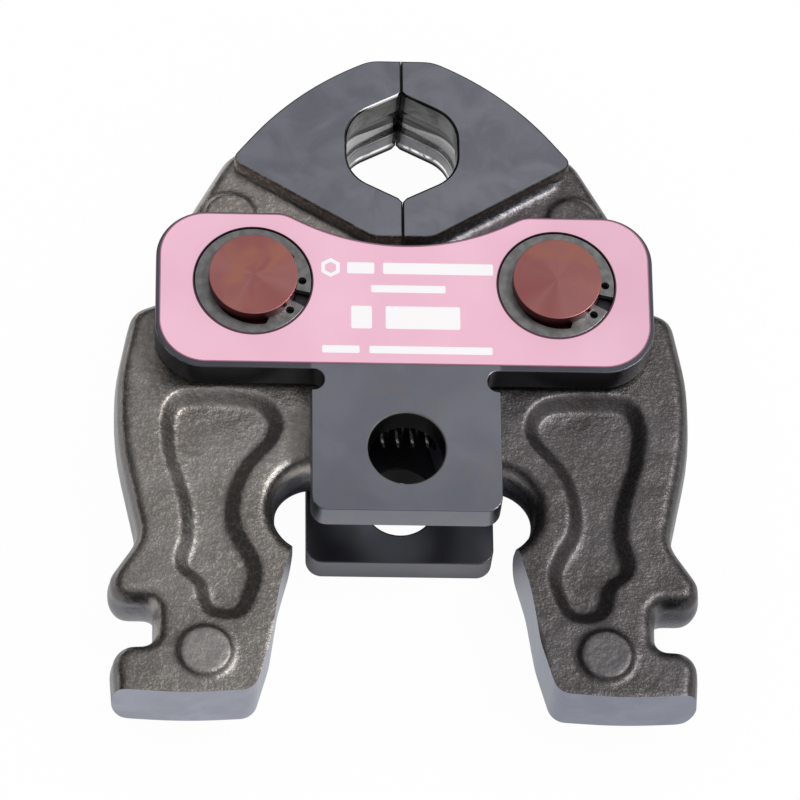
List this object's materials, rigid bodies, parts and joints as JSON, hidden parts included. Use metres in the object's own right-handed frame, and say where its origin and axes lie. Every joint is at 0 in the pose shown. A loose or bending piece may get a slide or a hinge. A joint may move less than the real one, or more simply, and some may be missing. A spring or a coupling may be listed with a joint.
{
  "type": "press fitting tool jaw",
  "caption": "Scissor-like press jaw: forged steel levers turn on pins between T-shaped plates, close round a pipe fitting in a hexagonal bore and are driven by rollers between their arms.",
  "frame": {"origin": "on the outer face of the back plate, below the middle of the whole jaw", "axes": "+Z out of the front plate, +Y towards the pressing head, X across both levers with the right lever, seen from the front, on +X"},
  "size_m": [0.107, 0.1274, 0.0324],
  "materials": {
    "forged_steel": "rough forging skin with machined faces, phosphated and oiled",
    "black_oxide": "satin black oxide",
    "coppered_steel": "turned, reddish brown",
    "spring_steel": "dark, satin",
    "pink_foil": "printed foil, satin"
  },
  "bodies": {
    "frame": {"front_plate": "black_oxide", "back_plate": "black_oxide", "left_pin": "coppered_steel", "right_pin": "coppered_steel", "left_ring": "spring_steel", "right_ring": "spring_steel", "spring": "spring_steel", "label": "pink_foil"},
    "left_arm": {"left_lever": "forged_steel"},
    "right_arm": {"right_lever": "forged_steel"}
  },
  "joints": [
    {"name": "left_hinge", "type": "hinge", "parent": "frame", "child": "left_arm", "pos_m": [-0.02775, 0.0142, 0.015], "axis": [0, 0, 1], "range_deg": [0, 15], "stiffness_Nm_per_rad": 7, "springref_deg": -2.86, "deforming": ["spring"]},
    {"name": "right_hinge", "type": "hinge", "parent": "frame", "child": "right_arm", "pos_m": [0.02775, 0.0142, 0.015], "axis": [0, 0, -1], "range_deg": [0, 15], "stiffness_Nm_per_rad": 7, "springref_deg": -2.86, "deforming": ["spring"]}
  ]
}
